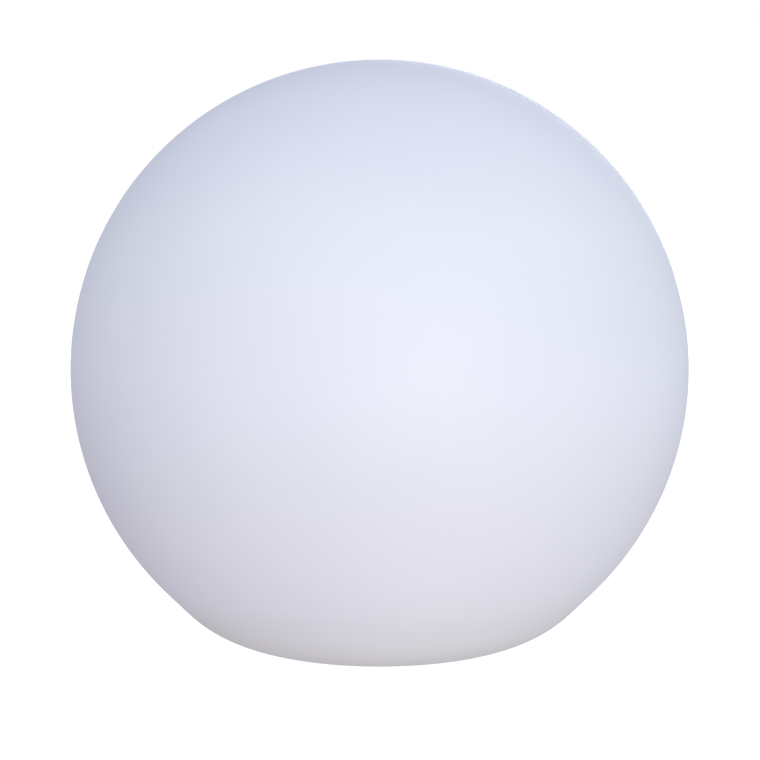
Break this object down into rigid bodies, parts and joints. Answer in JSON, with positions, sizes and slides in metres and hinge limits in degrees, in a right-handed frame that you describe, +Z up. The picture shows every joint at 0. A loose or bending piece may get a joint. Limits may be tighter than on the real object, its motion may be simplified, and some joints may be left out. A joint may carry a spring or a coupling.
{
  "type": "floating pool light",
  "caption": "Milky white floating globe lamp with a flattened foot and a sealed rechargeable light module in its underside.",
  "frame": {"origin": "centre of the flat foot, on the plane that the light stands on", "axes": "+Z up through the globe's pole, -Y towards the charging port, +Y towards the tether ring"},
  "size_m": [0.35, 0.35, 0.33],
  "materials": {
    "globe_white": "matte, milky and translucent",
    "housing_white": "satin, moulded",
    "lens_frost": "frosted diffuser",
    "silicone_grey": "soft matte",
    "stainless": "brushed",
    "brass": "machined",
    "board_white": "white solder mask",
    "board_green": "green solder mask",
    "frame_black": "moulded",
    "cell_wrap": "shrink wrap",
    "led_phosphor": "phosphor gel in a white package",
    "lead_red": "silicone lead",
    "lead_black": "silicone lead",
    "clear_acrylic": "clear"
  },
  "bodies": {
    "root": {"battery_cell": "cell_wrap", "battery_lead_black": "lead_black", "battery_lead_red": "lead_red", "battery_plug": "board_white", "battery_strap": "frame_black", "button_spring": "stainless", "charge_socket": "frame_black", "control_board": "board_green", "flange_gasket": "silicone_grey", "flange_screw_1": "stainless", "flange_screw_2": "stainless", "flange_screw_3": "stainless", "flange_screw_4": "stainless", "flange_screw_5": "stainless", "flange_screw_6": "stainless", "frame_screw_1": "stainless", "frame_screw_2": "stainless", "globe_shell": "globe_white", "indicator_pipe": "clear_acrylic", "inner_frame": "frame_black", "ir_receiver": "frame_black", "led_1": "led_phosphor", "led_2": "led_phosphor", "led_3": "led_phosphor", "led_4": "led_phosphor", "led_5": "led_phosphor", "led_6": "led_phosphor", "led_board": "board_white", "led_cable": "lead_black", "led_screw_1": "stainless", "led_screw_2": "stainless", "lens_dome": "lens_frost", "lens_screw_1": "stainless", "lens_screw_2": "stainless", "lens_screw_3": "stainless", "lens_screw_4": "stainless", "lens_seal": "silicone_grey", "module_base": "housing_white", "port_hinge_pin": "stainless", "saddle_screw_1": "stainless", "saddle_screw_2": "stainless", "socket_pin": "brass", "tact_switch": "frame_black", "tether_saddle": "stainless", "threaded_insert_1": "brass", "threaded_insert_2": "brass", "threaded_insert_3": "brass", "threaded_insert_4": "brass", "threaded_insert_5": "brass", "threaded_insert_6": "brass"},
    "button": {"power_button": "silicone_grey", "button_oring": "lead_black", "button_clip": "stainless", "switch_plunger": "lead_red"},
    "cover": {"port_cover": "housing_white", "port_bung": "silicone_grey"},
    "ring": {"tether_ring": "stainless"}
  },
  "joints": [
    {"name": "button_press", "type": "slide", "parent": "root", "child": "button", "axis": [0, 0, 1], "range_m": [0, 0.0008], "stiffness_N_per_m": 1200, "springref_m": -0.001, "deforming": ["button_spring"]},
    {"name": "cover_hinge", "type": "hinge", "parent": "root", "child": "cover", "pos_m": [0, -0.0385, 0.0065], "axis": [-1, 0, 0], "range_deg": [0, 120]},
    {"name": "ring_swing", "type": "hinge", "parent": "root", "child": "ring", "pos_m": [0, 0.023, 0.006], "axis": [-1, 0, 0], "range_deg": [-11, 155]}
  ]
}
